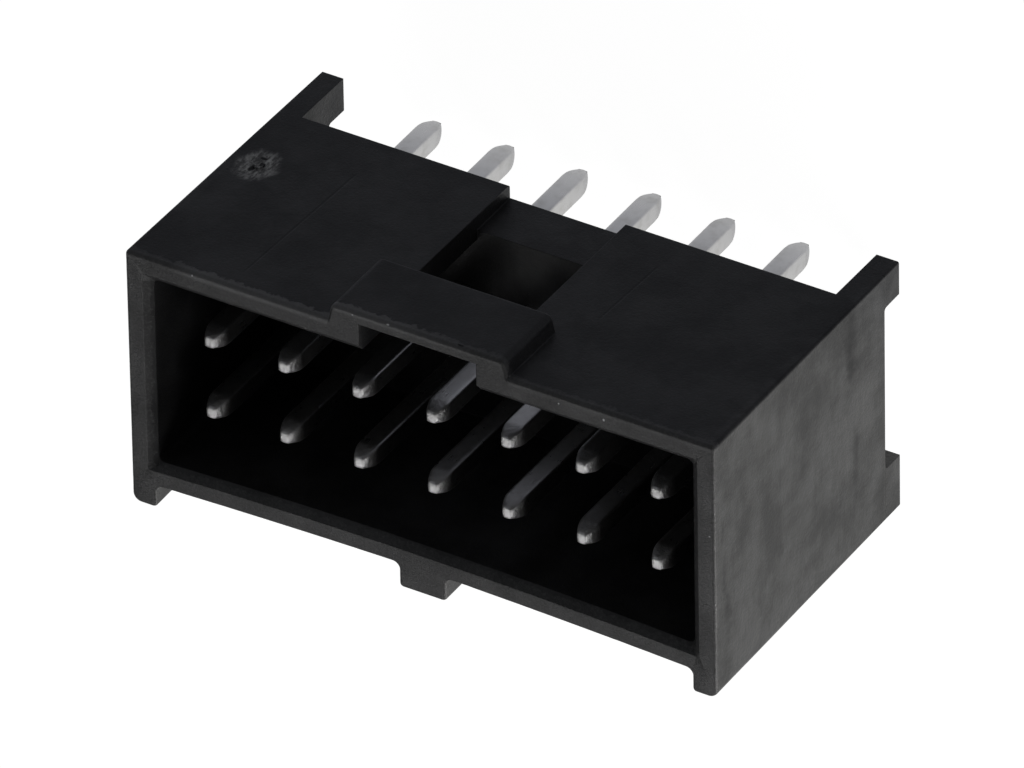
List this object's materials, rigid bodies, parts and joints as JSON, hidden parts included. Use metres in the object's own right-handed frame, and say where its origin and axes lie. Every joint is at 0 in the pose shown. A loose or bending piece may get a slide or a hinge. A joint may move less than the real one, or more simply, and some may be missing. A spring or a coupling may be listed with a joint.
{
  "type": "pin header",
  "caption": "Shrouded through-hole pin header with straight square pins and a bridged keyway and lock window in one long wall.",
  "frame": {"origin": "on the board's top face, at the middle of the pin grid", "axes": "+X along the rows, +Z out of the mouth (the mating direction), -Y towards the key wall with the latch arch"},
  "size_m": [0.02, 0.0096, 0.0138],
  "materials": {
    "housing_plastic": "fine moulded matte",
    "tin_plate": "satin tin plating over brass"
  },
  "bodies": {
    "root": {"housing": "housing_plastic", "terminal_a1": "tin_plate", "terminal_a2": "tin_plate", "terminal_a3": "tin_plate", "terminal_a4": "tin_plate", "terminal_a5": "tin_plate", "terminal_a6": "tin_plate", "terminal_a7": "tin_plate", "terminal_b1": "tin_plate", "terminal_b2": "tin_plate", "terminal_b3": "tin_plate", "terminal_b4": "tin_plate", "terminal_b5": "tin_plate", "terminal_b6": "tin_plate", "terminal_b7": "tin_plate"}
  },
  "joints": []
}
